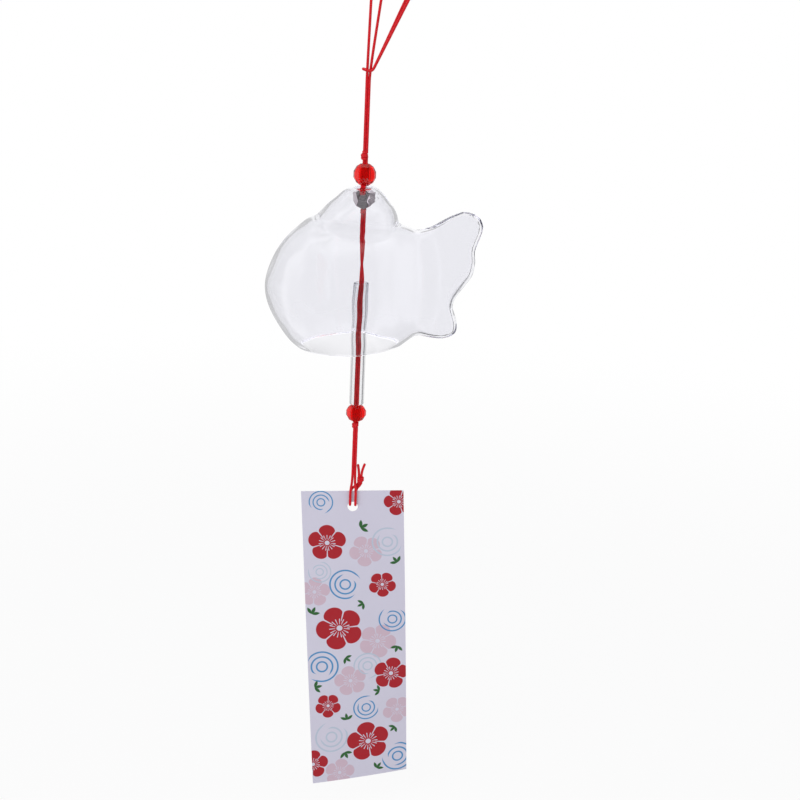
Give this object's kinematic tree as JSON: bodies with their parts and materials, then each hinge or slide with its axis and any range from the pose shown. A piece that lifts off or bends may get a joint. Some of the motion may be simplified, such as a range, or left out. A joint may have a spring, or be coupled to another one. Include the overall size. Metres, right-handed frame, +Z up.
{
  "type": "furin wind bell",
  "caption": "Hanging wind bell: a clear blown-glass fish on a red cord with faceted beads, a glass tube clapper inside and a printed paper strip below that catches the wind.",
  "frame": {"origin": "on the cord's plumb line, at the height of the axis of the peg that carries the hanging loop", "axes": "+Z up along the hanging cord, +X towards the fish's tail, -Y towards the viewer"},
  "size_m": [0.0836, 0.056, 0.3371],
  "materials": {
    "red_cord": "braided, slight gloss",
    "red_acrylic": "clear red, faceted",
    "clear_crystal": "faceted",
    "bell_glass": "blown, clear",
    "tube_glass": "drawn, clear",
    "printed_paper": "coated card"
  },
  "bodies": {
    "hanger": {"hanging_loop": "red_cord", "upper_knot": "red_cord", "neck_cord": "red_cord", "stopper_knot": "red_cord"},
    "upper_bead": {"upper_bead": "red_acrylic"},
    "stopper": {"stopper_bead": "clear_crystal"},
    "bell": {"glass_bell": "bell_glass"},
    "clapper_top": {"clapper_cord_upper": "red_cord"},
    "clapper": {"clapper_cord_lower": "red_cord", "lower_knot": "red_cord"},
    "tube": {"clapper_tube": "tube_glass"},
    "lower_bead": {"lower_bead": "red_acrylic"},
    "streamer_top": {"streamer_cord_upper": "red_cord"},
    "streamer": {"streamer_cord_lower": "red_cord", "tie_knot": "red_cord", "cord_tails": "red_cord"},
    "paper": {"paper_strip": "printed_paper"}
  },
  "joints": [
    {"name": "upper_bead_spin", "type": "hinge", "parent": "hanger", "child": "upper_bead", "pos_m": [0, 0, -0.0669], "axis": [0, 0, 1], "continuous": true},
    {"name": "bell_turn", "type": "hinge", "parent": "hanger", "child": "stopper", "pos_m": [0, 0, -0.0758], "axis": [0, 0, 1], "continuous": true},
    {"name": "bell_rock", "type": "hinge", "parent": "stopper", "child": "bell", "pos_m": [0, 0, -0.0758], "axis": [0, 1, 0], "range_deg": [-3.3, 8.7]},
    {"name": "clapper_swing_side", "type": "hinge", "parent": "bell", "child": "clapper_top", "pos_m": [0, 0, -0.08313], "axis": [0, 1, 0], "range_deg": [-9.5, 17]},
    {"name": "clapper_swing_fore", "type": "hinge", "parent": "clapper_top", "child": "clapper", "pos_m": [0, 0, -0.08583], "axis": [1, 0, 0], "range_deg": [-7, 7]},
    {"name": "tube_slide", "type": "slide", "parent": "clapper", "child": "tube", "axis": [0, 0, 1], "range_m": [0, 0.0215]},
    {"name": "lower_bead_spin", "type": "hinge", "parent": "clapper", "child": "lower_bead", "pos_m": [0, 0, -0.16203], "axis": [0, 0, 1], "continuous": true},
    {"name": "paper_twist", "type": "hinge", "parent": "clapper", "child": "streamer_top", "pos_m": [0, 0, -0.16873], "axis": [0, 0, 1], "range_deg": [-180, 180]},
    {"name": "paper_flap", "type": "hinge", "parent": "streamer_top", "child": "streamer", "pos_m": [0, 0, -0.17993], "axis": [1, 0, 0], "range_deg": [-50, 50]},
    {"name": "paper_roll", "type": "hinge", "parent": "streamer", "child": "paper", "pos_m": [0, 0, -0.20253], "axis": [0, 1, 0], "range_deg": [-25, 25]}
  ]
}
